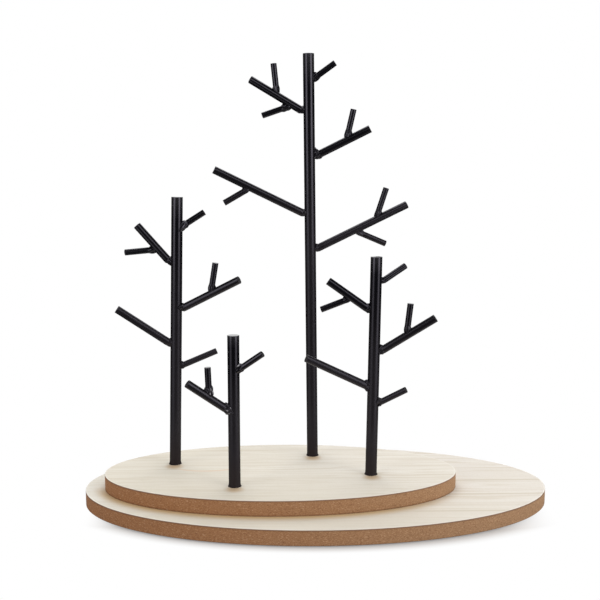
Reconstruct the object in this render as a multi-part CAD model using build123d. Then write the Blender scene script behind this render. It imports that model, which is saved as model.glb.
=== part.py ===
from build123d import *
import os
from dataclasses import dataclass
from math import cos, radians, sin, tan

# Jewelry holder: four welded steel trees stand on two stacked oval boards.
# Millimetres and degrees. +X is right, +Y is away from the viewer and +Z is up.
# The origin is below the lower board's centre, on the surface that the pads stand on.

# Boards: a fibreboard core with a wood veneer on its top face
lower_length = 325.0
lower_depth = 175.0
upper_length = 248.0
upper_depth = 125.0
upper_shift_left = 25.0
upper_shift_front = 1.0
core_thickness = 10.0
veneer_thickness = 0.6
core_arris = 0.5

# Stick-on pads under the lower board, on an oval inside its rim
pad_diameter = 12.0
pad_thickness = 1.0
pad_oval_share = 0.8
pad_angles = (45, 135, 225, 315)

# Round steel bars, all with a small broken edge at the free end
trunk_diameter = 8.0
branch_diameter = 5.5
twig_diameter = 4.3
bar_arris = 0.35

# Weld collars: how far they swell past the bar, how far they cover it past the joint's far corner, and
# the length over which they then run out
weld_height = 0.5
weld_cover = 0.3
weld_run = 1.5

# Countersunk screws, one up through both boards into each trunk's foot
screw_diameter = 4.0
screw_length = 30.0
screw_head_diameter = 8.0
screw_head_half_angle = 45
screw_sink = 0.3
screw_tip_chamfer = 0.5
socket_across_flats = 2.5
socket_depth = 1.5
tapped_depth = 12.0
hole_clearance = 0.25
thread_clearance = 0.05

# One overrun serves every cut that passes right through
overrun = 2.0

# Trunk heights above the upper board
tall_trunk_height = 292.0
left_trunk_height = 192.5
small_trunk_height = 103.5
right_trunk_height = 153.0

# Branch lengths, each from its trunk's axis to the tip
tall_top_right_length = 23.0
tall_upper_left_length = 49.1
tall_middle_right_length = 48.1
tall_lower_left_length = 76.5
tall_lower_right_length = 78.4
left_top_right_length = 22.9
left_upper_left_length = 41.6
left_middle_right_length = 52.4
left_lower_left_length = 49.8
left_lower_right_length = 31.6
small_upper_right_length = 24.7
small_lower_left_length = 38.9
right_top_right_length = 25.3
right_upper_left_length = 39.3
right_middle_right_length = 49.5
right_lower_left_length = 52.6
right_lower_right_length = 26.7

# Twig lengths, each from its branch's axis to the tip
upper_twig_length = 22.5
crown_twig_length = 24.2
dwarf_twig_length = 20.8
drooping_twig_length = 23.0
short_drooping_twig_length = 21.8
medium_drooping_twig_length = 24.1
long_drooping_twig_length = 25.4


@dataclass
class Twig:
    """A thin bar on a branch. fork is its angle from the branch, upwards if positive."""

    name: str
    place_share: float
    fork: float
    length: float


@dataclass
class Branch:
    """A bar on a trunk. heading turns it from +X about the trunk, rise lifts it from square."""

    name: str
    height_share: float
    heading: float
    rise: float
    length: float
    diameter: float
    twigs: tuple = ()


@dataclass
class Tree:
    """A trunk and its branches. The place shares are of the upper board's half length and depth."""

    name: str
    place_shares: tuple
    height: float
    lean: float
    branches: tuple


tall_tree = Tree("tall", (0.191, 0.571), tall_trunk_height, -0.66, (
    Branch("top_right", 0.932, -10, 34.4, tall_top_right_length, twig_diameter),
    Branch("upper_left", 0.854, 172, 31.4, tall_upper_left_length, branch_diameter, (
        Twig("rising", 0.544, 53.2, upper_twig_length),
        Twig("drooping", 0.279, -49.1, drooping_twig_length))),
    Branch("middle_right", 0.748, -6, 25.7, tall_middle_right_length, branch_diameter, (
        Twig("rising", 0.609, 50.9, upper_twig_length),)),
    Branch("lower_left", 0.608, 186, 26.7, tall_lower_left_length, branch_diameter, (
        Twig("drooping", 0.622, -55.9, short_drooping_twig_length),)),
    Branch("lower_right", 0.521, 6, 24.7, tall_lower_right_length, branch_diameter, (
        Twig("rising", 0.675, 46.4, crown_twig_length),
        Twig("drooping", 0.451, -48.4, long_drooping_twig_length))),
))

left_tree = Tree("left", (-0.617, 0.286), left_trunk_height, 1.41, (
    Branch("top_right", 0.881, 8, 33.6, left_top_right_length, twig_diameter),
    Branch("upper_left", 0.735, 174, 46.8, left_upper_left_length, branch_diameter, (
        Twig("drooping", 0.460, -54.1, medium_drooping_twig_length),)),
    Branch("middle_right", 0.580, -14, 28.5, left_middle_right_length, branch_diameter, (
        Twig("rising", 0.550, 53.4, upper_twig_length),)),
    Branch("lower_left", 0.446, 186, 33.2, left_lower_left_length, branch_diameter),
    Branch("lower_right", 0.367, 12, 22.2, left_lower_right_length, twig_diameter),
))

small_tree = Tree("small", (-0.254, -0.517), small_trunk_height, 0, (
    Branch("upper_right", 0.752, -15, 35.1, small_upper_right_length, twig_diameter),
    Branch("lower_left", 0.483, 195, 36.1, small_lower_left_length, branch_diameter, (
        Twig("rising", 0.533, 51.8, dwarf_twig_length),)),
))

right_tree = Tree("right", (0.508, -0.152), right_trunk_height, 0.84, (
    Branch("top_right", 0.870, 14, 32.4, right_top_right_length, twig_diameter),
    Branch("upper_left", 0.743, 172, 33.8, right_upper_left_length, branch_diameter, (
        Twig("drooping", 0.491, -56.7, drooping_twig_length),)),
    Branch("middle_right", 0.555, -8, 33.5, right_middle_right_length, branch_diameter, (
        Twig("rising", 0.529, 51.0, upper_twig_length),)),
    Branch("lower_left", 0.400, 188, 25.4, right_lower_left_length, branch_diameter),
    Branch("lower_right", 0.320, -16, 30.1, right_lower_right_length, twig_diameter),
))

trees = (tall_tree, left_tree, small_tree, right_tree)

# Levels and places that follow from the sizes above
underside = pad_thickness
lower_veneer_level = underside + core_thickness
upper_core_level = lower_veneer_level + veneer_thickness
upper_veneer_level = upper_core_level + core_thickness
standing_level = upper_veneer_level + veneer_thickness
screw_radius = screw_diameter / 2
screw_head_radius = screw_head_diameter / 2
screw_hole_radius = screw_radius + hole_clearance
head_slope = tan(radians(screw_head_half_angle))


def tree_place(tree):
    """Where a trunk's axis meets the upper board's top face."""
    x_share, y_share = tree.place_shares
    x = x_share * upper_length / 2 - upper_shift_left
    y = y_share * upper_depth / 2 - upper_shift_front
    return Vector(x, y, standing_level)


def tree_plane(tree):
    """The leaning frame of a tree, with its origin at the trunk's foot and Z along the trunk."""
    lean = radians(tree.lean)
    return Plane(tree_place(tree), x_dir=(cos(lean), 0, -sin(lean)), z_dir=(sin(lean), 0, cos(lean)))


def oval_slab(length, depth, thickness, level, centre=(0, 0)):
    """An elliptical board of even thickness."""
    outline = Pos(centre[0], centre[1], level) * Ellipse(length / 2, depth / 2)
    return extrude(outline, thickness)


def screw_holes(level, thickness):
    """Plain clearance holes under every trunk, right through one layer of the boards."""
    depth = thickness + 2 * overrun
    hole = Cylinder(screw_hole_radius, depth, align=(Align.CENTER, Align.CENTER, Align.MIN))
    return [Pos(tree_place(t).X, tree_place(t).Y, level - overrun) * hole for t in trees]


def countersinks():
    """The seats for the screw heads in the lower board's underside."""
    seat_top = screw_sink + (screw_head_radius - screw_hole_radius) / head_slope
    outline = Polyline((0, -overrun), (screw_head_radius, -overrun), (screw_head_radius, screw_sink),
                       (screw_hole_radius, seat_top), (0, seat_top), close=True)
    seat = revolve(Plane.XZ * make_face(outline), Axis.Z)
    return [Pos(tree_place(t).X, tree_place(t).Y, underside) * seat for t in trees]


def lower_core():
    slab = oval_slab(lower_length, lower_depth, core_thickness, underside)
    slab = chamfer(slab.edges().group_by(Axis.Z)[0], core_arris)
    return slab - screw_holes(underside, core_thickness) - countersinks()


def lower_veneer():
    slab = oval_slab(lower_length, lower_depth, veneer_thickness, lower_veneer_level)
    return slab - screw_holes(lower_veneer_level, veneer_thickness)


def upper_layer(thickness, level):
    centre = (-upper_shift_left, -upper_shift_front)
    slab = oval_slab(upper_length, upper_depth, thickness, level, centre)
    return slab - screw_holes(level, thickness)


def pads():
    """Round pads on the lower board's underside."""
    pad = Cylinder(pad_diameter / 2, pad_thickness, align=(Align.CENTER, Align.CENTER, Align.MIN))
    reach_x = pad_oval_share * lower_length / 2
    reach_y = pad_oval_share * lower_depth / 2
    return [Pos(reach_x * cos(radians(a)), reach_y * sin(radians(a)), 0) * pad for a in pad_angles]


def screws():
    """Countersunk socket screws, their heads sunk just below the lower board's underside."""
    head_height = (screw_head_radius - screw_radius) / head_slope
    tip_radius = screw_radius - screw_tip_chamfer
    outline = Polyline((0, 0), (screw_head_radius, 0), (screw_radius, head_height),
                       (screw_radius, screw_length - screw_tip_chamfer), (tip_radius, screw_length),
                       (0, screw_length), close=True)
    screw = revolve(Plane.XZ * make_face(outline), Axis.Z)
    hexagon = RegularPolygon(socket_across_flats / 2, side_count=6, major_radius=False)
    screw -= extrude(hexagon, socket_depth)
    return [Pos(tree_place(t).X, tree_place(t).Y, underside + screw_sink) * screw for t in trees]


def round_bar(diameter, start, end):
    """A plain cylinder on local Z."""
    base = (Align.CENTER, Align.CENTER, Align.MIN)
    return Pos(0, 0, start) * Cylinder(diameter / 2, end - start, align=base)


def trunk(tree):
    """A bar with a broken top edge, cut level at the foot and tapped there for its screw."""
    bar = round_bar(trunk_diameter, -trunk_diameter, tree.height)
    bar = chamfer(bar.edges().sort_by(Axis.Z)[-1], bar_arris)
    bar = split(tree_plane(tree) * bar, bisect_by=Plane.XY.offset(standing_level), keep=Keep.TOP)
    tapped = round_bar(screw_diameter + 2 * thread_clearance, -overrun, tapped_depth)
    return bar - Pos(tree_place(tree)) * tapped


def welded_bar(length, diameter, carrier_diameter, slant):
    """A bar on local Z that starts on its carrier's axis, with a swollen weld collar at its root.

    slant is the bar's angle from square to its carrier. The collar covers the bar past the joint's far
    corner, where the collar's side last meets the carrier, and then runs out in a cone.
    """
    radius = diameter / 2
    collar_radius = radius + weld_height
    far_corner = (carrier_diameter / 2 + collar_radius * sin(radians(slant))) / cos(radians(slant))
    collar_end = far_corner + weld_cover
    outline = Polyline((0, 0), (collar_radius, 0), (collar_radius, collar_end),
                       (radius, collar_end + weld_run), (radius, length - bar_arris),
                       (radius - bar_arris, length), (0, length), close=True)
    return revolve(Plane.XZ * make_face(outline), Axis.Z)


def branch_plane(tree, branch):
    """A branch's frame: its origin on the trunk's axis, Z along the branch, X towards the trunk's top."""
    heading = radians(branch.heading)
    rise = radians(branch.rise)
    out = (cos(heading) * cos(rise), sin(heading) * cos(rise), sin(rise))
    up = (-cos(heading) * sin(rise), -sin(heading) * sin(rise), cos(rise))
    upright = Plane((0, 0, branch.height_share * tree.height), x_dir=up, z_dir=out)
    return tree_plane(tree) * Location(upright)


def twig_plane(branch, twig):
    """A twig's frame inside its branch's frame: Z along the twig, in the branch's upright plane."""
    fork = radians(twig.fork)
    along = branch.length * twig.place_share
    return Plane((0, 0, along), x_dir=(cos(fork), 0, -sin(fork)), z_dir=(sin(fork), 0, cos(fork)))


def coped_branch(tree, branch):
    """A branch whose root is hollowed to sit on the trunk's round side."""
    bar = welded_bar(branch.length, branch.diameter, trunk_diameter, branch.rise)
    carrier = round_bar(trunk_diameter, 0, tree.height)
    return branch_plane(tree, branch) * bar - tree_plane(tree) * carrier


def coped_twig(tree, branch, twig):
    """A twig whose root is hollowed to sit on its branch's round side."""
    slant = 90 - abs(twig.fork)
    bar = welded_bar(twig.length, twig_diameter, branch.diameter, slant)
    carrier = round_bar(branch.diameter, 0, branch.length)
    return branch_plane(tree, branch) * (Location(twig_plane(branch, twig)) * bar - carrier)


def tree_nodes(tree):
    """Every bar of one tree, by name."""
    bars = {f"{tree.name}_trunk": trunk(tree)}
    for branch in tree.branches:
        stem = f"{tree.name}_{branch.name}"
        bars[f"{stem}_branch"] = coped_branch(tree, branch)
        for twig in branch.twigs:
            bars[f"{stem}_{twig.name}_twig"] = coped_twig(tree, branch, twig)
    return bars


nodes = {
    "lower_board_core": lower_core(),
    "lower_board_veneer": lower_veneer(),
    "upper_board_core": upper_layer(core_thickness, upper_core_level),
    "upper_board_veneer": upper_layer(veneer_thickness, upper_veneer_level),
    "trunk_screws": Compound(children=screws()),
    "foot_pads": Compound(children=pads()),
}
for tree in trees:
    nodes.update(tree_nodes(tree))

os.makedirs("parts", exist_ok=True)
for name, solid in nodes.items():
    export_step(solid, f"parts/{name}.step")
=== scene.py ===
"""Jewelry holder: four black welded steel trees on two stacked oval boards.

Metres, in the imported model's frame: +X is right, +Y is away from the viewer and +Z is up.
"""
from dataclasses import dataclass
from math import pi, radians

import bpy
import numpy as np
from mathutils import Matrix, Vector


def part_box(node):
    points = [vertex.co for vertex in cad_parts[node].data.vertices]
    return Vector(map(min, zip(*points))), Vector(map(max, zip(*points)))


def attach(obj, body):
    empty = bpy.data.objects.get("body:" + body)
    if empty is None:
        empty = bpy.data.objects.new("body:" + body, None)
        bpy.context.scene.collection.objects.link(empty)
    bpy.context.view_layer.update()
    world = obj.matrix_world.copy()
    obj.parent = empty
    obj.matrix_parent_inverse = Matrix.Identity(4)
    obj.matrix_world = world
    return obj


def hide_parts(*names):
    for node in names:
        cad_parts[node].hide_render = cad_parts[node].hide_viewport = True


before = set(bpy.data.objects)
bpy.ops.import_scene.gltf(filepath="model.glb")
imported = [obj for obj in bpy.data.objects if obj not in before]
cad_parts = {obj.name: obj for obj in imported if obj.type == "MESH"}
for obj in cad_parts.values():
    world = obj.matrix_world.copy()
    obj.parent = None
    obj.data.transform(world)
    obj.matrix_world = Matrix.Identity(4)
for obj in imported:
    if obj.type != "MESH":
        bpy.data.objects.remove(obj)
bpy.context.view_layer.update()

# The level that the trunks stand on
standing_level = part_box("upper_board_veneer")[1].z

# A bar's sawn ends: the rounding of the free end, the rounding of the root as a share of the bar's radius,
# and the wear of the free end's edge
end_round = 0.00028
root_round_share = 0.20
end_wear = 0.3

# The saw cut on a branch's or twig's free end leans by a random share of a tilt, over a short reach from the
# tip. The even shaft stops before that
cut_tilt = radians(1.6)
cut_tilt_shares = (0.2, 1.0)
askew_reach = 2 * end_round
shaft_stop = 3 * end_round

# The burr of paint round a trunk's foot: how far it stands out, its run up the trunk, and the runs modelled
foot_burr = 0.00062
foot_burr_run = 0.0007
foot_burr_runs = 4


@dataclass
class Weld:
    """How a weld lies, as shares of the bar's radius, at the heel (a joint's wide side) and in the crotch.

    A toe is how far outside the bar the weld meets the carrier, a run is how far it covers the bar past
    its sawn root, and a swell is how far its face bulges in between. The roughness scales the lumps.
    """

    toe_shares: tuple
    run_shares: tuple
    swell_shares: tuple
    roughness: float


# Welds of a thick branch, of a thin branch and of a twig, and the radius below which a branch is thin
thick_weld = Weld((-0.62, 0.26), (0.0, 0.65), (0.05, 0.14), 0.9)
thin_weld = Weld((-0.52, 0.32), (0.2, 0.80), (0.12, 0.16), 0.8)
twig_weld = Weld((-0.14, 0.16), (1.2, 0.75), (0.20, 0.12), 0.55)
thin_radius = 0.0025

# How full a usual weld is, how much further out a fuller one's toe lies, and how deep a weld sinks in
usual_fullness = (0.8, 1.2)
toe_spread_share = 0.15
weld_sink = 0.00012

# Lumps on a weld, in shares of the bar's radius, for two waves round the bar, three, and so on
lump_shares = (0.10, 0.09, 0.08, 0.06, 0.05)
fewest_waves = 2

# Beads on a full weld, and ripples on every weld, which bend across the face by so many half waves
bead_count = 7
bead_share = 0.34
ripple_pitch = 0.0011
ripple_share = 0.03
ripple_crescent = 1.6

# The power that moves a weld's swelling towards the carrier, and the ranks of height between which a bright
# weld goes from plain paint to painted glints
swell_power = 0.8
glint_ranks = (0.86, 0.97)


@dataclass
class Joint:
    """How full one joint's weld is, where 1 is usual, and how else it differs.

    Its toe spreads further out at the sides and at the heel, and at the heel it runs on along the bar,
    all in shares of the bar's radius. A bright weld gets painted glints where it stands out most.
    """

    full: float
    side_spread: float = 0.0
    heel_spread: float = 0.0
    heel_run: float = 0.0
    bright: bool = False


# Joints where the photo shows more weld than usual, less of it, or weld that spreads further
uneven_joints = {
    "tall_top_right_branch": Joint(1.2, heel_spread=0.35, heel_run=1.0),
    "tall_upper_left_branch": Joint(0.7),
    "tall_upper_left_drooping_twig": Joint(1.4, heel_spread=-0.10),
    "tall_middle_right_branch": Joint(1.6, side_spread=0.10, heel_run=0.9, bright=True),
    "tall_lower_left_branch": Joint(0.5, heel_spread=0.15),
    "tall_lower_left_drooping_twig": Joint(0.6),
    "tall_lower_right_branch": Joint(0.8, heel_spread=0.15),
    "left_top_right_branch": Joint(1.5, side_spread=0.25, heel_spread=0.95, heel_run=1.2),
    "left_upper_left_branch": Joint(0.8, heel_spread=-0.15),
    "left_lower_left_branch": Joint(0.6, heel_spread=0.30),
    "left_lower_right_branch": Joint(0.9, heel_spread=0.30),
    "small_upper_right_branch": Joint(1.3, side_spread=0.60, heel_spread=0.20, heel_run=0.6, bright=True),
    "small_lower_left_branch": Joint(1.5, side_spread=0.40, heel_spread=0.10, bright=True),
    "small_lower_left_rising_twig": Joint(1.5, side_spread=0.10, heel_spread=0.10, bright=True),
    "right_top_right_branch": Joint(0.7),
    "right_middle_right_branch": Joint(1.3, side_spread=0.10),
    "right_lower_left_branch": Joint(1.1, heel_spread=0.45),
    "right_lower_right_branch": Joint(1.5, side_spread=0.15),
}

# Veneer: the easing of its upper edge, how far in the painted highlight on the rim stays whole and where
# it ends, in easings, and the level that marks the rim for that highlight
veneer_ease = 0.00022
rim_ease_shares = np.array([3.0, 5.0])
rim_highlight_level = 0.35

# The painted shade along the board on a veneer: how far it reaches, and on which side it is strongest
shade_reach = 0.0096
shade_side = (-0.35, -0.94, 0.0)

# The painted shade before a trunk's foot: how far its middle lies from the trunk's axis, and the radii of
# its fade
foot_shade_shift = 0.0072
foot_shade_radii = (0.0020, 0.0086)

# How finely the surfaces are divided: steps round a bar, a weld and an oval, and over a rounding, and rows
# across a weld, over a burr and along a trunk or another bar
bar_steps = 48
weld_steps = 96
oval_steps = 320
round_steps = 5
weld_rows = 14
burr_rows = 9
trunk_rows = 14
rod_rows = 12

# The camera that took the photo: where it stood, where it looked, and its lens and sensor in millimetres
camera_place = (-0.02877, -0.67125, 0.24301)
camera_turn = radians(-1.474)
camera_dip = radians(8.376)
camera_lens = 58.79
camera_sensor = 36.0

# The point that the lamps face, unless they face the holder's axis on their own level
lamp_aim = (0.0, 0.0, 0.12)

# Reading the model: how far a flat end's normals and points may stray from one plane, how far past its
# broken edge a bar has its full radius, and the digits to which normals and points count as the same
reading_slack = 0.00001
reading_reach = 0.0008
normal_digits = 3
point_digits = 7

random = np.random.default_rng(seed=7)


# Bars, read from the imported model

@dataclass
class Bar:
    """A straight round bar. Its root lies on its carrier's axis, or on the board if it has no carrier."""

    node: str
    root: np.ndarray
    along: np.ndarray
    length: float
    radius: float
    carrier: object


def unit(vector):
    """A vector, or each row of an array of vectors, divided by its length."""
    return vector / np.linalg.norm(vector, axis=-1, keepdims=True)


def across(vectors, axis):
    """What is left of the vectors once their part along a unit axis is taken away."""
    return vectors - (vectors @ axis)[..., None] * axis


def node_array(node, collection, field):
    """Three numbers for each vertex or face of a node, as rows."""
    items = getattr(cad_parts[node].data, collection)
    values = np.empty(len(items) * 3)
    items.foreach_get(field, values)
    return values.reshape(-1, 3)


def corners(node):
    """The lowest and the highest corner of a node's box, as arrays."""
    return [np.array(corner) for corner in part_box(node)]


def cut_end(node):
    """The direction, centre and radius of a bar's free end.

    The end is flat, so more triangles share its normal than any other. A trunk's foot, which faces
    down, is passed over.
    """
    normals = node_array(node, "polygons", "normal")
    if node.endswith("_trunk"):
        normals = normals[normals[:, 2] > 0]
    shared, counts = np.unique(normals.round(normal_digits), axis=0, return_counts=True)
    alike = normals @ unit(shared[counts.argmax()]) > 1 - reading_slack
    along = unit(normals[alike].mean(0))
    points = node_array(node, "vertices", "co")
    reach = points @ along
    from_end = reach.max() - reach
    rim = np.unique(points[from_end < reading_slack].round(point_digits), axis=0)
    tip = rim.mean(0)
    beside = across(points[from_end < reading_reach] - tip, along)
    return along, tip, np.linalg.norm(beside, axis=1).max()


def read_trunk(node):
    """A trunk, which starts where its axis meets the upper board."""
    along, tip, radius = cut_end(node)
    length = (tip[2] - standing_level) / along[2]
    return Bar(node, tip - length * along, along, length, radius, None)


def read_bar(node, carrier):
    """A branch or twig, which starts where its axis passes nearest to its carrier's axis."""
    along, tip, radius = cut_end(node)
    square = across(along, carrier.along)
    length = across(tip - carrier.root, carrier.along) @ square / (square @ square)
    return Bar(node, tip - length * along, along, length, radius, carrier)


def read_bars():
    """Every bar by its node's name: trunks first, then branches, then twigs."""
    names = sorted(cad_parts)
    bars = {n: read_trunk(n) for n in names if n.endswith("_trunk")}
    for name in names:
        if name.endswith("_branch"):
            bars[name] = read_bar(name, bars[name.split("_")[0] + "_trunk"])
    for name in names:
        if name.endswith("_twig"):
            bars[name] = read_bar(name, bars[name.rsplit("_", 2)[0] + "_branch"])
    return bars


# Surfaces

@dataclass
class Surface:
    """Points, faces and, by name, one value for each point, such as how worn it is."""

    points: np.ndarray
    quads: np.ndarray
    triangles: np.ndarray
    values: dict


def full_turn(steps):
    """Angles evenly spaced once round."""
    return np.linspace(0, 2 * pi, steps, endpoint=False)


def grid_quads(rows, steps):
    """Quads of a grid whose steps go round and whose rows go outwards."""
    row, step = np.meshgrid(np.arange(rows - 1), np.arange(steps), indexing="ij")
    step_on = (step + 1) % steps
    low = row * steps
    high = low + steps
    return np.stack([low + step, low + step_on, high + step_on, high + step], -1).reshape(-1, 4)


def capped(rings, first, last, **row_values):
    """A stack of rings, closed by a fan of triangles to one point at each end.

    The named values are given for each ring, and the end points take those of their rings.
    """
    rows, steps, _ = rings.shape
    points = np.vstack([rings.reshape(-1, 3), first, last])
    step = np.arange(steps)
    step_on = (step + 1) % steps
    low = np.stack([step_on, step, np.full(steps, rows * steps)], -1)
    top = (rows - 1) * steps
    high = np.stack([top + step, top + step_on, np.full(steps, rows * steps + 1)], -1)
    values = {n: np.append(np.repeat(v, steps), (v[0], v[-1])) for n, v in row_values.items()}
    return Surface(points, grid_quads(rows, steps), np.vstack([low, high]), values)


def join(surfaces):
    """Several closed surfaces as one."""
    starts = np.cumsum([0] + [len(s.points) for s in surfaces])
    points = np.vstack([s.points for s in surfaces])
    quads = np.vstack([s.quads + start for s, start in zip(surfaces, starts)])
    triangles = np.vstack([s.triangles + start for s, start in zip(surfaces, starts)])
    values = {name: np.concatenate([s.values[name] for s in surfaces]) for name in surfaces[0].values}
    return Surface(points, quads, triangles, values)


def side_vectors(along, towards):
    """Two unit vectors square to an axis and to each other. The first leans towards a direction."""
    first = unit(across(towards, along))
    return first, np.cross(along, first)


def spokes(sides, turn):
    """Unit vectors round an axis: cosine x one side vector + sine x the other."""
    return np.cos(turn)[:, None] * sides[0] + np.sin(turn)[:, None] * sides[1]


def ring_points(bar, sides, distances, radii, turn):
    """Rings about a bar's axis: root + distance x axis + radius x spoke."""
    centres = bar.root + distances[:, None] * bar.along
    return centres[:, None] + radii[:, None, None] * spokes(sides, turn)


def rounded_end(radius, length, rounding):
    """Distances and radii of a cut end: a quarter circle from the side to the flat face, then inwards."""
    flat_shares = np.array([0.93, 0.5])
    turn = np.linspace(0, pi / 2, round_steps)
    distances = length - rounding * (1 - np.sin(turn))
    radii = radius - rounding * (1 - np.cos(turn))
    return np.append(distances, [length, length]), np.append(radii, radii[-1] * flat_shares)


def end_values(bar, distances):
    """The wear of each ring, a peak on the free end's rounding, and 1 for the rings on its cut face."""
    from_rounding = np.abs(distances - (bar.length - end_round / 2))
    return {"worn": end_wear * np.exp(-from_rounding / end_round), "cut": 1.0 * (distances == bar.length)}


def trunk_surface(bar):
    """A bar carried along the trunk's axis, with its foot cut level.

    The radius grows by the burr times a falling exponential of the distance from the foot. The foot's
    ring is moved along the axis until it lies in the board's plane.
    """
    foot = foot_burr_run * np.linspace(0, foot_burr_runs, burr_rows)
    shaft = np.linspace(foot[-1], bar.length - end_round, trunk_rows)[1:-1]
    end_distances, end_radii = rounded_end(bar.radius, bar.length, end_round)
    distances = np.concatenate([foot, shaft, end_distances])
    burr = foot_burr * np.exp(-distances / foot_burr_run)
    radii = np.concatenate([np.full(len(foot) + len(shaft), bar.radius), end_radii]) + burr
    rightwards = np.array([1.0, 0.0, 0.0])
    sides = side_vectors(bar.along, rightwards)
    rings = ring_points(bar, sides, distances, radii, full_turn(bar_steps))
    rings[0] += ((bar.root[2] - rings[0, :, 2]) / bar.along[2])[:, None] * bar.along
    return capped(rings, bar.root, bar.root + bar.length * bar.along, **end_values(bar, distances))


def joint_sides(bar):
    """Two unit vectors square to a bar. The first points into the joint's crotch."""
    lean = np.sign(bar.along @ bar.carrier.along)
    return side_vectors(bar.along, lean * bar.carrier.along)


def saddle(bar, outwards, radius):
    """How far along a bar its side, or a line beside it at some other radius, meets its carrier's side.

    A point beside the bar is distance x axis + radius x spoke. Its part square to the carrier is as long
    as the carrier's radius, which is a quadratic in the distance.
    """
    square_axis = across(bar.along, bar.carrier.along)
    square_side = np.reshape(radius, (-1, 1)) * across(outwards, bar.carrier.along)
    a = square_axis @ square_axis
    b = square_side @ square_axis
    c = (square_side ** 2).sum(1) - bar.carrier.radius ** 2
    return (np.sqrt(np.maximum(b ** 2 - a * c, 0)) - b) / a


def sawn_root(bar):
    """How far along a bar its root is sawn square: where its crotch side touches the carrier."""
    return saddle(bar, joint_sides(bar)[0][None], bar.radius)[0]


def rod_surface(bar):
    """A bar carried along a branch's or twig's axis, its root sawn square and its free end a little askew.

    Both ends are rounded by a quarter circle. The free end is tilted about its edge on one random side,
    so it never reaches past the bar's length.
    """
    turn = full_turn(bar_steps)
    root = sawn_root(bar)
    root_round = root_round_share * bar.radius
    root_distances, root_radii = rounded_end(bar.radius, -root, root_round)
    end_distances, end_radii = rounded_end(bar.radius, bar.length, end_round)
    shaft = np.linspace(root + root_round, bar.length - shaft_stop, rod_rows)[1:]
    distances = np.concatenate([-root_distances[::-1], shaft, end_distances])
    radii = np.concatenate([root_radii[::-1], np.full(len(shaft), bar.radius), end_radii])
    rings = ring_points(bar, joint_sides(bar), distances, radii, turn)
    lean = np.tan(cut_tilt * random.uniform(*cut_tilt_shares))
    lean_turn = random.uniform(0, 2 * pi)
    set_back = lean * (bar.radius - radii[:, None] * np.cos(turn - lean_turn))
    askew = (distances > bar.length - askew_reach)[:, None] * set_back
    rings -= askew[..., None] * bar.along
    tip = bar.root + (bar.length - lean * bar.radius) * bar.along
    return capped(rings, bar.root + root * bar.along, tip, **end_values(bar, distances))


def weld_of(bar):
    """The kind of weld at a bar's root."""
    if bar.carrier.carrier:
        return twig_weld
    return thin_weld if bar.radius < thin_radius else thick_weld


def weld_lumps(turn):
    """A lumpy wave round a bar: a few cosines of growing count, with random phases."""
    counts = np.arange(fewest_waves, fewest_waves + len(lump_shares))
    phases = random.uniform(0, 2 * pi, len(lump_shares))
    return np.cos(np.outer(turn, counts) + phases) @ np.array(lump_shares)


def weld_height(bar, joint, swell, turn, face):
    """How far a weld's face stands out, in the bar's radii, for each turn and each share of the way across.

    The swell and the ripples, a quick wave that is bent across the face, are multiplied by a half sine
    that peaks nearer to the carrier. A full weld also has beads, the product of a wave round the bar and
    one across the face.
    """
    ripple_count = round(2 * pi * bar.radius / ripple_pitch)
    ripples = ripple_share * np.cos(ripple_count * turn + ripple_crescent * pi * face)
    beads = np.cos(bead_count * turn + pi * face) * np.sin(2 * pi * face)
    fuller = max(joint.full - 1, 0)
    return (swell + ripples) * np.sin(pi * face ** swell_power) + bead_share * fuller * beads


def weld_surface(bar):
    """A lumpy weld, carried round a bar from a toe on its carrier to a top on its own side.

    Toes, runs and swells go from the heel's to the crotch's as one plus the cosine of the turn, halved,
    and lumps are added to all three. The face between toe and top is a straight line that the weld's
    height moves outwards.
    """
    weld = weld_of(bar)
    usual = Joint(random.uniform(*usual_fullness))
    joint = uneven_joints.get(bar.node, usual)
    turn = full_turn(weld_steps)
    crotch = (1 + np.cos(turn)) / 2
    heel = 1 - crotch
    toe_lumps = joint.full * weld.roughness * weld_lumps(turn)
    run_lumps = joint.full * weld.roughness * weld_lumps(turn)
    fuller = toe_spread_share * (joint.full - 1)
    spread = fuller + joint.side_spread * np.sin(turn) ** 2 + joint.heel_spread * heel
    toe_radius = bar.radius * (1 + np.interp(crotch, (0, 1), weld.toe_shares) + spread + toe_lumps)
    run = joint.full * np.interp(crotch, (0, 1), weld.run_shares) + joint.heel_run * heel + run_lumps
    swell = joint.full * np.interp(crotch, (0, 1), weld.swell_shares) + (toe_lumps + run_lumps) / 2
    outwards = spokes(joint_sides(bar), turn)
    toe_distance = saddle(bar, outwards, toe_radius) - weld_sink
    top_distance = sawn_root(bar) + bar.radius * run
    toe = bar.root + toe_distance[:, None] * bar.along + toe_radius[:, None] * outwards
    top = bar.root + top_distance[:, None] * bar.along + (bar.radius - weld_sink) * outwards
    face = np.linspace(0, 1, weld_rows)[:, None]
    height = weld_height(bar, joint, swell, turn, face)
    line = (1 - face)[..., None] * toe + face[..., None] * top
    points = line + bar.radius * height[..., None] * outwards
    middle = bar.root + (sawn_root(bar) + bar.radius) * bar.along
    shape = capped(points, bar.root, middle, worn=np.zeros(weld_rows), cut=np.zeros(weld_rows))
    if joint.bright:
        # Painted glints: a bright weld's highest points get a value that turns its paint bright grey there
        shape.values["worn"][:-2] = np.interp(height, np.quantile(height, glint_ranks), (0, 1)).ravel()
    return shape


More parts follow.
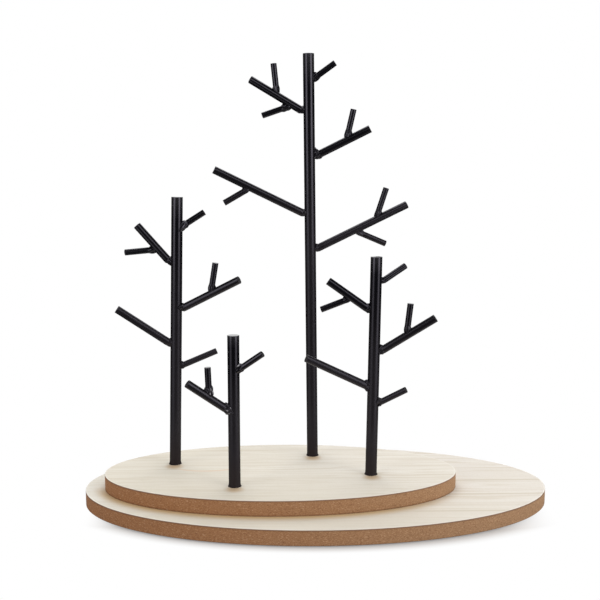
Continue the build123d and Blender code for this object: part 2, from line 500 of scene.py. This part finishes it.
def veneer_surface(node):
    """An oval sheet: an ellipse moved in along its own normal, from the underside over the rim to the top.

    The rim is upright up to the easing, then a quarter circle, and then the flat top goes in to the
    centre. The wear-and-highlight value is 1 on the upright side, falls over the easing to the level of the
    rim's painted highlight, and is none on the rest of the flat top.
    """
    inner_shares = np.array([0.75, 0.5, 0.25])
    low, high = corners(node)
    thickness = high[2] - low[2]
    centre = (low + high) / 2
    half = (high - low)[:2] / 2
    turn = full_turn(oval_steps)
    circle = np.stack([np.cos(turn), np.sin(turn)], -1)
    outline = circle * half
    normal = unit(circle / half)
    bend = np.linspace(0, pi / 2, round_steps)
    insets = np.concatenate([[0], veneer_ease * (1 - np.cos(bend)), veneer_ease * rim_ease_shares])
    rises = np.concatenate([[-thickness], veneer_ease * (np.sin(bend) - 1), np.zeros_like(rim_ease_shares)])
    rim_worn = np.concatenate([[1], np.linspace(1, rim_highlight_level, round_steps), [rim_highlight_level, 0]])
    rim = outline - insets[:, None, None] * normal
    inner = inner_shares[:, None, None] * outline
    flat = np.concatenate([inner[::-1], rim, inner]) + centre[:2]
    below = np.full_like(inner_shares, -thickness)
    levels = high[2] + np.concatenate([below, rises, np.zeros_like(inner_shares)])
    rings = np.concatenate([flat, np.broadcast_to(levels[:, None, None], flat.shape[:2] + (1,))], -1)
    worn = np.concatenate([np.ones_like(inner_shares), rim_worn, np.zeros_like(inner_shares)])
    axis = centre * [1, 1, 0]
    return capped(rings, axis + [0, 0, low[2]], axis + [0, 0, high[2]], worn=worn)


# Shader values

class Value:
    """One output of a shader node. Arithmetic on it adds Math nodes, and node() adds any other kind."""

    def __init__(self, tree, socket=None):
        self.tree = tree
        self.socket = socket

    def node(self, kind, settings=None, inputs=None, output=0):
        """Adds a node, sets its settings and then its sockets, by name or place, and wraps one output."""
        made = self.tree.nodes.new("ShaderNode" + kind)
        for name, value in (settings or {}).items():
            setattr(made, name, value)
        for name, value in (inputs or {}).items():
            if isinstance(value, Value):
                self.tree.links.new(value.socket, made.inputs[name])
            else:
                made.inputs[name].default_value = value
        return Value(self.tree, made.outputs[output] if made.outputs else None)

    def math(self, operation, first, second=0.0):
        """A Math node on two values or numbers."""
        return self.node("Math", {"operation": operation}, {0: first, 1: second})

    def vector_math(self, operation, first, second=(0.0, 0.0, 0.0), output="Vector"):
        """A Vector Math node. Lengths, distances and dot products come out of its output Value."""
        return self.node("VectorMath", {"operation": operation}, {0: first, 1: second}, output)

    def blend(self, first, second):
        """A colour that goes from the first to the second as this value goes from 0 to 1.

        A Mix node has its colours at inputs 6 and 7, and the mixed colour at output 2.
        """
        return self.node("Mix", {"data_type": "RGBA"}, {0: self, 6: first, 7: second}, 2)

    def step(self, start, end):
        """Rises smoothly from 0 to 1 as this value goes from start to end."""
        inputs = {"Value": self, "From Min": start, "From Max": end}
        return self.node("MapRange", {"interpolation_type": "SMOOTHSTEP"}, inputs)

    def __abs__(self):
        return self.math("ABSOLUTE", self)

    def __add__(self, other):
        return self.math("ADD", self, other)

    def __radd__(self, other):
        return self.math("ADD", other, self)

    def __sub__(self, other):
        return self.math("SUBTRACT", self, other)

    def __rsub__(self, other):
        return self.math("SUBTRACT", other, self)

    def __mul__(self, other):
        return self.math("MULTIPLY", self, other)

    def __rmul__(self, other):
        return self.math("MULTIPLY", other, self)

    def __truediv__(self, other):
        return self.math("DIVIDE", self, other)

    def __rtruediv__(self, other):
        return self.math("DIVIDE", other, self)


def linear(red, green, blue):
    """A colour as a screen shows it, from 0 to 255 a channel, as the shader's linear light.

    The numbers are those of the curve that screens use.
    """
    share = np.array([red, green, blue]) / 255
    light = np.where(share <= 0.04045, share / 12.92, ((share + 0.055) / 1.055) ** 2.4)
    return (*light.tolist(), 1.0)


def new_material(name):
    """An empty material and a Value that adds nodes to it."""
    material = bpy.data.materials.new(name)
    material.use_nodes = True
    material.node_tree.nodes.clear()
    return material, Value(material.node_tree)


def finish_material(shader, colour, roughness, normal, **others):
    """Ends a material in a Principled shader. The others are its sockets too, with _ for each space."""
    inputs = {"Base Color": colour, "Roughness": roughness, "Normal": normal}
    inputs.update({name.replace("_", " "): value for name, value in others.items()})
    principled = shader.node("BsdfPrincipled", {}, inputs)
    shader.node("OutputMaterial", {}, {"Surface": principled})


def object_place(shader):
    """The point that is shaded, in metres."""
    return shader.node("TexCoord", output="Object")


def coordinate(shader, axis):
    """The X, Y or Z of the point that is shaded, in metres."""
    return shader.node("SeparateXYZ", {}, {0: object_place(shader)}, axis)


def attribute(shader, name):
    """One of the values that a surface carries for each of its points."""
    return shader.node("Attribute", {"attribute_name": name}, output="Fac")


def stretched(shader, counts, shift=(0.0, 0.0, 0.0)):
    """The shaded point, multiplied on each axis by how many of a pattern's features go to the metre."""
    return shader.node("Mapping", {}, {"Vector": object_place(shader), "Location": shift, "Scale": counts})


def noise(shader, place, size=1.0, detail=2.0, roughness=0.5):
    """Cloudy noise from 0 to 1, with features of about the given size."""
    inputs = {"Vector": place, "Scale": 1 / size, "Detail": detail, "Roughness": roughness}
    return shader.node("TexNoise", {}, inputs)


def bump(shader, height, depth):
    """A normal from a height of 0 to 1 that stands for the given depth."""
    return shader.node("Bump", {}, {"Height": height, "Distance": depth, "Strength": 1.0})


def layered(colour, layers):
    """A colour with others laid over it in turn, each given after how much of it shows, from 0 to 1."""
    for amount, layer_colour in layers:
        colour = amount.blend(colour, layer_colour)
    return colour


# Finishes

def black_paint():
    """Black paint on steel, sprayed from above: glossy and deep high on a tree, duller towards its foot.

    It has orange peel, patches that are a little duller, dust, and thin edges where the paint wears. Paint
    pools on the cut ends, which get a clear gloss. Just above the board it is dull, with a painted brown
    that stands for the wood's warm reflection. On a bright weld, painted glints in grey and near white
    stand for highlights where the weld stands out most.
    """
    deep_black = linear(3, 3, 6)
    thin_black = linear(13, 9, 11)
    painted_wood_reflection_brown = linear(23, 11, 1)
    patch_grey = linear(27, 24, 26)
    dust_grey = linear(72, 70, 72)
    scuff_and_glint_grey = linear(150, 148, 152)
    painted_glint_grey = linear(206, 204, 208)
    gloss_tint = (0.89, 0.845, 1.0, 1.0)
    peel_size = 0.0016
    peel_depth = 0.000010
    grit_size = 0.00022
    patch_size = 0.014
    coat_shares = (0.42, 0.90)
    dull_reach = (0.006, 0.045)
    wood_reflection_reach = (0.004, 0.028)
    material, shader = new_material("satin_black_paint")
    place = object_place(shader)
    peel = noise(shader, place, peel_size)
    grit = noise(shader, place, grit_size, detail=3.0, roughness=0.7)
    patches = noise(shader, place, patch_size, detail=3.0)
    coat = attribute(shader, "coat").step(*coat_shares)
    worn = attribute(shader, "worn")
    above = coordinate(shader, "Z") - standing_level
    thin = 1 - 0.8 * coat
    paint = layered(coat.blend(thin_black, deep_black), [
        # Painted reflection: a warm brown just above the board stands for the wood reflected in the paint
        (1 - above.step(*wood_reflection_reach), painted_wood_reflection_brown),
        (0.4 * patches * thin, patch_grey),
        (0.35 * grit.step(0.69, 0.78) * patches * thin, dust_grey),
        # Scuffs where the bar ends wear, and on a bright weld its painted glints, grey and near white
        (0.6 * worn * grit.step(0.42, 0.62), scuff_and_glint_grey),
        (0.35 * worn.step(0.5, 0.9), painted_glint_grey),
    ])
    dull = 1 - above.step(*dull_reach)
    roughness = 0.38 - 0.22 * coat + 0.07 * patches + 0.04 * grit + 0.30 * dull
    normal = bump(shader, thin * (0.92 * peel + 0.08 * grit), peel_depth)
    finish_material(shader, paint, roughness, normal, Specular_IOR_Level=0.48, Specular_Tint=gloss_tint,
                    Coat_Weight=attribute(shader, "cut"), Coat_Roughness=0.08, Coat_IOR=1.8)
    return material


def fibreboard():
    """A bare sawn fibreboard edge: pressed fibres, pale and dark flecks, and a glue line under each veneer.

    The right-hand side is painted paler and greyer, for the light and sheen from the right. The upper
    board's lowest millimetre is painted dark, for the shade where it sits on the lower board.
    """
    pale_fleck = linear(198, 160, 124)
    dark_fleck = linear(104, 66, 42)
    glue_brown = linear(92, 58, 36)
    contact_shade_brown = linear(84, 54, 34)
    fibre_counts = (1300.0, 1300.0, 2600.0)
    fleck_counts = (700.0, 700.0, 1500.0)
    cloud_counts = (60.0, 60.0, 160.0)
    fibre_depth = 0.00010
    painted_right_light_reach = (-0.16, 0.16)
    glue_reach = (0.0002, 0.0009)
    contact_shade_start = (-0.0003, 0.0)
    contact_shade_end = (0.0004, 0.0013)
    material, shader = new_material("fibreboard_edge")
    fibres = noise(shader, stretched(shader, fibre_counts), detail=4.0, roughness=0.65)
    flecks = noise(shader, stretched(shader, fleck_counts))
    clouds = noise(shader, stretched(shader, cloud_counts), detail=3.0)
    level = coordinate(shader, "Z")
    lower_glue = 1 - abs(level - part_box("lower_board_core")[1].z).step(*glue_reach)
    upper_glue = 1 - abs(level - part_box("upper_board_core")[1].z).step(*glue_reach)
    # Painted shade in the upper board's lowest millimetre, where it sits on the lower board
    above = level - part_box("upper_board_core")[0].z
    contact_shade = above.step(*contact_shade_start) * (1 - above.step(*contact_shade_end))
    # Painted light: towards the right the edge goes paler and greyer, for the light and sheen from that side
    painted_right_light = coordinate(shader, "X").step(*painted_right_light_reach)
    dark = painted_right_light.blend(linear(126, 80, 43), linear(130, 97, 66))
    pale = painted_right_light.blend(linear(173, 124, 83), linear(177, 141, 106))
    cloudy = painted_right_light.blend(linear(157, 106, 66), linear(162, 123, 88))
    board = layered(fibres.step(0.31, 0.69).blend(dark, pale), [
        (0.5 * clouds, cloudy),
        (0.5 * flecks.step(0.58, 0.70), pale_fleck),
        (0.5 * (1 - flecks.step(0.30, 0.42)), dark_fleck),
        (0.35 * (lower_glue + upper_glue), glue_brown),
        (0.42 * contact_shade, contact_shade_brown),
    ])
    normal = bump(shader, 0.7 * fibres + 0.3 * flecks, fibre_depth)
    finish_material(shader, board, 0.78 + 0.14 * fibres, normal, Specular_IOR_Level=0.5)
    return material


@dataclass
class ClearLine:
    """A growth line that stands out: a parabola's middle on the board, its bend and its half length."""

    x: float
    y: float
    bend: float
    half_length: float


@dataclass
class Sheet:
    """How one veneer looks.

    The shift is where in the grain it was cut. Its wood goes from shade to pale, and towards the left to a
    third colour, which on the lower sheet is painted light for its left end. Its painted shade colour is
    laid where things stand on it. The thread share is how much of its finest grain shows.
    """

    name: str
    shift: tuple
    shade: tuple
    pale: tuple
    left_colour: tuple
    painted_shade_colour: tuple
    line_colour: tuple
    clear_lines: list
    thread_share: float


lower_sheet = Sheet(
    name="lower_board_grain",
    shift=(0.31, 0.067, 0.0),
    shade=linear(217, 210, 200),
    pale=linear(227, 222, 215),
    # Paler towards its left end: painted light
    left_colour=linear(242, 243, 228),
    painted_shade_colour=linear(207, 179, 134),
    line_colour=linear(200, 190, 172),
    clear_lines=[
        ClearLine(x=0.125, y=-0.0231, bend=0.0, half_length=0.060),
        ClearLine(x=0.130, y=0.0058, bend=0.0, half_length=0.055),
        ClearLine(x=0.096, y=-0.0557, bend=0.0, half_length=0.050),
    ],
    thread_share=0.35,
)
upper_sheet = Sheet(
    name="upper_board_grain",
    shift=(-0.52, 0.231, 0.0),
    shade=linear(219, 212, 200),
    pale=linear(229, 224, 215),
    left_colour=linear(214, 206, 182),
    painted_shade_colour=linear(202, 178, 148),
    line_colour=linear(221, 194, 169),
    clear_lines=[ClearLine(x=-0.078, y=-0.0012, bend=11.5, half_length=0.027)],
    thread_share=0.75,
)


def clear_line(shader, line):
    """1 on a clear growth line and 0 beside it. Past its whole middle, it grows faint towards its ends."""
    line_reach = (0.0004, 0.0018)
    whole_share = 0.5
    beside = coordinate(shader, "X") - line.x
    off = coordinate(shader, "Y") - line.y - line.bend * beside * beside
    near = 1 - abs(off).step(*line_reach)
    return near * (1 - abs(beside).step(whole_share * line.half_length, line.half_length))


def beside_board(shader, node):
    """1 against the left front of a board's oval outline, falling to 0 at the painted shade's reach and
    ends.

    A point's share is its distance from the oval's centre, counted in the oval's own radius that way. How
    far outside the oval it lies is, nearly, that share less one, over the share's slope.
    """
    facing_shares = (0.25, 0.9)
    low, high = corners(node)
    centre = (low + high) / 2 * [1, 1, 0]
    half_length, half_depth, _ = (high - low) / 2
    half = (half_length, half_depth, 1.0)
    from_centre = shader.vector_math("SUBTRACT", object_place(shader), centre)
    shares = shader.vector_math("DIVIDE", from_centre, half)
    slopes = shader.vector_math("DIVIDE", shares, half)
    share = shader.vector_math("LENGTH", shares, output="Value")
    slope = shader.vector_math("LENGTH", slopes, output="Value")
    distance = (share - 1) * share / slope
    facing = shader.vector_math("DOT_PRODUCT", slopes, shade_side, "Value") / slope
    return (1 - distance.step(0.0, shade_reach)) * facing.step(*facing_shares)


def beside_feet(shader, trunks):
    """1 just before a trunk's foot, where painted shade goes, falling smoothly to 0 over a round spot."""
    near = 0.0
    for trunk in trunks:
        spot = trunk.root - [0.0, foot_shade_shift, 0.0]
        distance = shader.vector_math("DISTANCE", object_place(shader), spot, "Value")
        near = near + (1 - distance.step(*foot_shade_radii))
    return near


def grain(shader, sheet, lengthways, crossways, detail=2.0, roughness=0.5):
    """Noise drawn out along X, with so many features to the metre along the grain and across it."""
    place = stretched(shader, (lengthways, crossways, 1.0), sheet.shift)
    return noise(shader, place, detail=detail, roughness=roughness)


def veneer(sheet, painted_shade):
    """Pale veneer, grain along X: wavering growth lines, fine streaks, pores, painted light and shade.

    A growth line is where the fraction of a wavering depth, counted in uneven rings, nears one. The clear
    lines are the few that the photo shows one by one. Towards the left the wood goes to the sheet's left
    colour, painted light on the lower sheet. The sheet is painted darker towards its front, for shade.
    Against what stands on it a warmer painted shade is laid, as much as the given mask says, and a painted
    highlight runs along its eased rim.
    """
    streak_tan = linear(214, 205, 188)
    growth_tan = linear(201, 189, 169)
    thread_tan = linear(205, 195, 176)
    pore_brown = linear(190, 168, 142)
    speck_tan = linear(206, 196, 178)
    painted_front_shade_tan = linear(208, 199, 180)
    painted_rim_highlight_white = linear(244, 241, 234)
    edge_brown = linear(142, 114, 97)
    rings_per_metre = 130.0
    waver_rings = 2.2
    uneven_rings = 4.0
    speck_size = 0.0011
    grain_depth = 0.00003
    left_reach = (-0.12, 0.06)
    right_reach = (0.0, 0.12)
    front_shade_reach = (-0.07, -0.01)
    material, shader = new_material(sheet.name)
    waver = grain(shader, sheet, lengthways=9.0, crossways=30.0)
    uneven = grain(shader, sheet, lengthways=1.2, crossways=60.0, detail=1.0)
    vivid = grain(shader, sheet, lengthways=11.0, crossways=45.0).step(0.40, 0.68)
    streaks = grain(shader, sheet, lengthways=14.0, crossways=900.0, detail=4.0, roughness=0.6)
    threads = grain(shader, sheet, lengthways=24.0, crossways=430.0, detail=3.0, roughness=0.6)
    bands = grain(shader, sheet, lengthways=3.0, crossways=120.0, detail=3.0, roughness=0.55)
    pores = grain(shader, sheet, lengthways=160.0, crossways=4200.0, detail=1.0).step(0.66, 0.74)
    specks = noise(shader, stretched(shader, (1.0, 1.0, 1.0), sheet.shift), speck_size)
    depth = coordinate(shader, "Y") + sheet.shift[1]
    rings = rings_per_metre * depth + waver_rings * waver + uneven_rings * uneven
    ring_share = shader.math("FRACT", rings)
    growth = ring_share.step(0.55, 0.93) * (1 - ring_share.step(0.95, 1.0))
    left = 1 - coordinate(shader, "X").step(*left_reach)
    right = coordinate(shader, "X").step(*right_reach)
    front = 1 - coordinate(shader, "Y").step(*front_shade_reach)
    worn = attribute(shader, "worn")
    # The band over the eased rim and just inside it, where a painted highlight goes
    painted_rim_highlight = worn.step(0.05, 0.30) * (1 - worn.step(0.40, 0.60))
    wood = layered(bands.step(0.25, 0.75).blend(sheet.shade, sheet.pale), [
        (0.35 * streaks.step(0.35, 0.75), streak_tan),
        (0.70 * growth * (0.25 + 0.75 * vivid), growth_tan),
        (sheet.thread_share * threads.step(0.50, 0.74), thread_tan),
        *[(0.85 * clear_line(shader, line), sheet.line_colour) for line in sheet.clear_lines],
        (0.30 * pores, pore_brown),
        (0.35 * specks.step(0.52, 0.75), speck_tan),
        # Towards the left: painted light on the lower sheet, a yellower tone on the upper
        (0.25 * left, sheet.left_colour),
        # Painted shade: darker towards the front, less so on the right
        (0.52 * front * (1 - 0.35 * right), painted_front_shade_tan),
        # Painted shade, darker and warmer, against what stands on the sheet
        (painted_shade(shader), sheet.painted_shade_colour),
        # Painted highlight along the eased rim
        (0.30 * painted_rim_highlight, painted_rim_highlight_white),
        (worn.step(0.55, 0.90), edge_brown),
    ])
    normal = bump(shader, 0.6 * streaks + 0.4 * (1 - pores), grain_depth)
    finish_material(shader, wood, 0.56 + 0.12 * streaks, normal, Specular_IOR_Level=0.30)
    return material


def zinc_plate():
    """Bright zinc plate: faint turning marks, and patches from blue grey to milky."""
    blue_grey = linear(176, 178, 184)
    milky_grey = linear(214, 213, 208)
    turning_counts = (300.0, 300.0, 9000.0)
    turning_depth = 0.00002
    patch_size = 0.0018
    material, shader = new_material("zinc_plate")
    turning = noise(shader, stretched(shader, turning_counts))
    patches = noise(shader, object_place(shader), patch_size, detail=3.0)
    zinc = patches.step(0.3, 0.7).blend(blue_grey, milky_grey)
    roughness = 0.22 + 0.16 * patches + 0.08 * turning
    finish_material(shader, zinc, roughness, bump(shader, turning, turning_depth), Metallic=1.0)
    return material


def pad_foam():
    """Black foam rubber: open cells and dusty patches."""
    cell_black = linear(30, 30, 32)
    wall_grey = linear(62, 61, 60)
    dust_grey = linear(92, 90, 88)
    cell_size = 0.0004
    cell_depth = 0.00012
    patch_size = 0.003
    material, shader = new_material("pad_foam")
    place = object_place(shader)
    cells = shader.node("TexVoronoi", {}, {"Vector": place, "Scale": 1 / cell_size})
    patches = noise(shader, place, patch_size, detail=3.0)
    foam = layered(cells.step(0.15, 0.6).blend(cell_black, wall_grey), [(0.4 * patches, dust_grey)])
    normal = bump(shader, cells, cell_depth)
    finish_material(shader, foam, 0.8 + 0.15 * patches, normal, Specular_IOR_Level=0.2)
    return material


# Pieces

def make_object(name, shape, material):
    """One mesh object at the origin from a closed surface, shaded smooth, its values kept as attributes."""
    mesh = bpy.data.meshes.new(name)
    mesh.from_pydata(shape.points, [], shape.quads.tolist() + shape.triangles.tolist())
    for key, values in shape.values.items():
        kept = mesh.attributes.new(key, "FLOAT", "POINT")
        kept.data.foreach_set("value", values.astype(np.float32))
    mesh.polygons.foreach_set("use_smooth", np.ones(len(mesh.polygons), bool))
    mesh.materials.append(material)
    made = bpy.data.objects.new(name, mesh)
    bpy.context.scene.collection.objects.link(made)
    return made


def dress(node, suffix, shape, material):
    """A new piece that stands for a node and rides on the holder's only body."""
    made = make_object(f"{node}_{suffix}", shape, material)
    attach(made, "root")
    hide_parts(node)


def trunk_of(bar):
    """The trunk that carries a bar in the end."""
    return trunk_of(bar.carrier) if bar.carrier else bar


def dress_bars(bars):
    """Every bar with its weld. The coat is the height above the board, as a share of the trunk's."""
    paint = black_paint()
    for bar in bars:
        shape = join([rod_surface(bar), weld_surface(bar)]) if bar.carrier else trunk_surface(bar)
        trunk = trunk_of(bar)
        shape.values["coat"] = (shape.points[:, 2] - trunk.root[2]) / (trunk.length * trunk.along[2])
        dress(bar.node, "painted", shape, paint)


def dress_boards(trunks):
    """Both boards, with the screws and the pads beneath them."""
    # Painted shade: on the lower sheet against the upper board, and on the upper sheet before each foot
    lower_grain = veneer(lower_sheet, lambda shader: beside_board(shader, "upper_board_core"))
    upper_grain = veneer(upper_sheet, lambda shader: beside_feet(shader, trunks))
    for node, finish in {"lower_board_veneer": lower_grain, "upper_board_veneer": upper_grain}.items():
        dress(node, "sheet", veneer_surface(node), finish)
    edge = fibreboard()
    finishes = {"lower_board_core": edge, "upper_board_core": edge, "trunk_screws": zinc_plate(),
                "foot_pads": pad_foam()}
    for node, finish in finishes.items():
        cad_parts[node].data.materials[0] = finish


# Studio

def ray_kinds(shader):
    """1 where a camera ray arrives, and 1 where a mirrored or refracted ray arrives."""
    kinds = ("Camera", "Glossy", "Transmission")
    seen, glossy, passed = (shader.node("LightPath", output=f"Is {kind} Ray") for kind in kinds)
    return seen, shader.math("MAXIMUM", glossy, passed)


def white_floor():
    """Pale paper that keeps the holder's shadow and fades to plain white a little outside the lower board.

    The fade goes by the distance from the shadow's centre, counted in the board's half length and depth,
    and comes sooner at the board's two ends. Mirrored rays see the floor white behind the holder and dim
    in front.
    """
    paper_colour = linear(200, 195, 190)
    shadow_reach = (1.0, 1.145)
    shadow_centre = (0.004, 0.0025, 0.0)
    left_fade_shares = np.array([0.76, 0.98])
    right_fade_shares = np.array([0.70, 1.0])
    near_white_share = 0.26
    dim_floor = 0.20
    mirror_fade = (0.10, 0.20)
    low, high = corners("lower_board_core")
    half_length, half_depth, _ = (high - low) / 2
    material, shader = new_material("white_floor")
    material.cycles.emission_sampling = "NONE"
    from_centre = shader.vector_math("SUBTRACT", object_place(shader), shadow_centre)
    shares = shader.vector_math("DIVIDE", from_centre, (half_length, half_depth, 1.0))
    outside = shader.vector_math("LENGTH", shares, output="Value").step(*shadow_reach)
    aside = coordinate(shader, "X")
    right_end = aside.step(*(right_fade_shares * half_length))
    left_end = (0 - aside).step(*(left_fade_shares * half_length))
    clear = shader.math("MAXIMUM", outside, shader.math("MAXIMUM", right_end, left_end))
    white = near_white_share + (1 - near_white_share) * clear
    behind = coordinate(shader, "Y").step(*mirror_fade)
    seen, mirrored = ray_kinds(shader)
    brightness = seen + mirrored * (dim_floor + (1 - dim_floor) * behind)
    paper = shader.node("BsdfDiffuse", {}, {"Color": paper_colour})
    glow = shader.node("Emission", {}, {"Color": brightness, "Strength": 1.0})
    mixed = shader.node("MixShader", {}, {0: seen * white + mirrored, 1: paper, 2: glow})
    shader.node("OutputMaterial", {}, {"Surface": mixed})
    return material


def make_floor():
    """A flat round floor under the holder."""
    floor_radius = 0.235
    turn = full_turn(oval_steps)
    rim = floor_radius * np.stack([np.cos(turn), np.sin(turn), 0 * turn], -1)
    mesh = bpy.data.meshes.new("floor")
    mesh.from_pydata(rim, [], [list(range(oval_steps))])
    mesh.materials.append(white_floor())
    floor = bpy.data.objects.new("floor", mesh)
    bpy.context.scene.collection.objects.link(floor)


def make_world():
    """White to the camera. Mirrored rays see that white behind the holder and a dim studio in front.

    All other rays get soft light from the walls at the back and the sides, and from below the horizon, as
    it would come up from more of the pale floor.
    """
    ambient = 0.14
    back_wall = 0.75
    right_wall = 0.90
    left_wall = 0.22
    floor_light = 0.34
    dim_studio = 0.05
    back_wall_edge = (0.10, 0.70)
    side_wall_edge = (0.20, 0.90)
    floor_edge = (-0.12, 0.0)
    mirror_edge = (0.92, 0.99)
    mirror_floor_edge = (-0.10, 0.02)
    world = bpy.data.worlds.new("studio")
    world.use_nodes = True
    world.node_tree.nodes.clear()
    world.cycles.sampling_method = "NONE"
    bpy.context.scene.world = world
    shader = Value(world.node_tree)
    towards = shader.node("TexCoord", output="Generated")
    x, y, z = (shader.node("SeparateXYZ", {}, {0: towards}, axis) for axis in "XYZ")
    behind = y.step(*mirror_edge) * z.step(*mirror_floor_edge)
    shown = dim_studio + (1 - dim_studio) * behind
    sides = right_wall * x.step(*side_wall_edge) + left_wall * (0 - x).step(*side_wall_edge)
    walls = back_wall * y.step(*back_wall_edge) + sides
    soft = ambient + walls + floor_light * (1 - z.step(*floor_edge))
    seen, mirrored = ray_kinds(shader)
    brightness = seen + mirrored * shown + (1 - seen - mirrored) * soft
    sky = shader.node("Background", {}, {"Color": brightness, "Strength": 1.0})
    shader.node("OutputWorld", {}, {"Surface": sky})


def softbox(name, place, size, power, aim=lamp_aim):
    """A rectangular lamp that faces a point and isn't seen by the camera."""
    lamp = bpy.data.lights.new(name, "AREA")
    lamp.shape = "RECTANGLE"
    lamp.size, lamp.size_y = size
    lamp.energy = power
    made = bpy.data.objects.new(name, lamp)
    made.location = place
    made.rotation_euler = (Vector(place) - Vector(aim)).to_track_quat("Z", "Y").to_euler()
    made.visible_camera = False
    bpy.context.scene.collection.objects.link(made)


def strip(name, side, level, height, power):
    """A softbox before the holder, on its left (-1) or right (1), which faces its axis on its own level."""
    aside = 0.92
    ahead = 0.70
    width = 0.66
    softbox(name, (side * aside, -ahead, level), (width, height), power, aim=(0.0, 0.0, level))


def make_lights():
    """Softboxes behind, above and high in front, and a high and a low strip at each side."""
    softbox("key_back", place=(0.08, 0.80, 1.00), size=(1.0, 0.7), power=4.7)
    softbox("overhead", place=(-0.10, 0.30, 1.35), size=(1.0, 0.8), power=4.9)
    softbox("front_right_high", place=(0.28, -0.85, 0.86), size=(1.2, 0.30), power=2.7)
    strip("left_strip", side=-1, level=0.48, height=0.8, power=4.5)
    strip("right_strip", side=1, level=0.48, height=0.8, power=5.4)
    strip("left_low_strip", side=-1, level=-0.22, height=0.6, power=1.0)
    strip("right_low_strip", side=1, level=-0.22, height=0.6, power=1.8)


def make_camera():
    """A camera that is dipped below the horizon and turned about the upright, with no roll."""
    lens = bpy.data.cameras.new("photo_camera")
    lens.lens = camera_lens
    lens.sensor_width = camera_sensor
    camera = bpy.data.objects.new("photo_camera", lens)
    camera.location = camera_place
    camera.rotation_euler = (pi / 2 - camera_dip, 0.0, camera_turn)
    bpy.context.scene.collection.objects.link(camera)
    bpy.context.scene.camera = camera


bars = read_bars().values()
dress_bars(bars)
dress_boards([bar for bar in bars if not bar.carrier])
make_floor()
make_world()
make_lights()
make_camera()
bpy.context.scene.view_settings.view_transform = "Standard"
